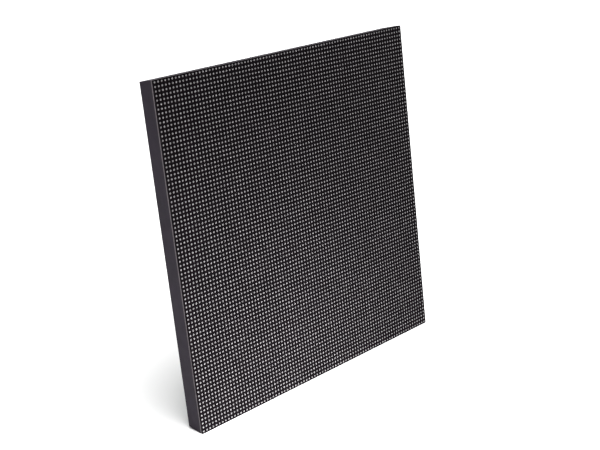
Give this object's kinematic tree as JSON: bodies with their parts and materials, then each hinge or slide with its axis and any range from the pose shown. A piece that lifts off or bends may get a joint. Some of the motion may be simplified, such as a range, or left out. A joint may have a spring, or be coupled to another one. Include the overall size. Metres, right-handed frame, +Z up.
{
  "type": "rgb led matrix panel",
  "caption": "Square display module: a grid of small RGB lamps on a circuit board, under a black mask, in a drafted moulded rear frame with windows.",
  "frame": {"origin": "middle of the panel's bottom edge, at half its depth", "axes": "+Z up, +Y out of the back, so the lamps face -Y; +X to the right as seen from the front"},
  "size_m": [0.25, 0.017, 0.25],
  "materials": {
    "mask_black": "matt",
    "lamp_black": "matt",
    "board_laminate": "satin",
    "frame_plastic": "fine satin texture",
    "screw_steel": "zinc plated",
    "spacer_tin": "tinned",
    "insert_brass": "turned",
    "connector_black": "satin",
    "contact_gold": "plated",
    "power_plastic": "satin",
    "power_contact": "tinned",
    "chip_epoxy": "matt",
    "ceramic_tan": "satin",
    "array_black": "satin",
    "can_base": "satin",
    "can_aluminium": "satin"
  },
  "bodies": {
    "root": {"face_mask": "mask_black", "led_rows": "lamp_black", "led_board": "board_laminate", "rear_frame": "frame_plastic", "board_spacers": "spacer_tin", "frame_screws": "screw_steel", "mounting_inserts": "insert_brass", "input_header_shroud": "connector_black", "input_header_pins": "contact_gold", "output_header_shroud": "connector_black", "output_header_pins": "contact_gold", "power_connector_housing": "power_plastic", "power_connector_pins": "power_contact", "red_driver_chips": "chip_epoxy", "green_driver_chips": "chip_epoxy", "blue_driver_chips": "chip_epoxy", "row_switch_chips": "chip_epoxy", "buffer_chips": "chip_epoxy", "ceramic_capacitors": "ceramic_tan", "resistor_arrays": "array_black", "capacitor_bases": "can_base", "capacitor_cans": "can_aluminium"}
  },
  "joints": []
}
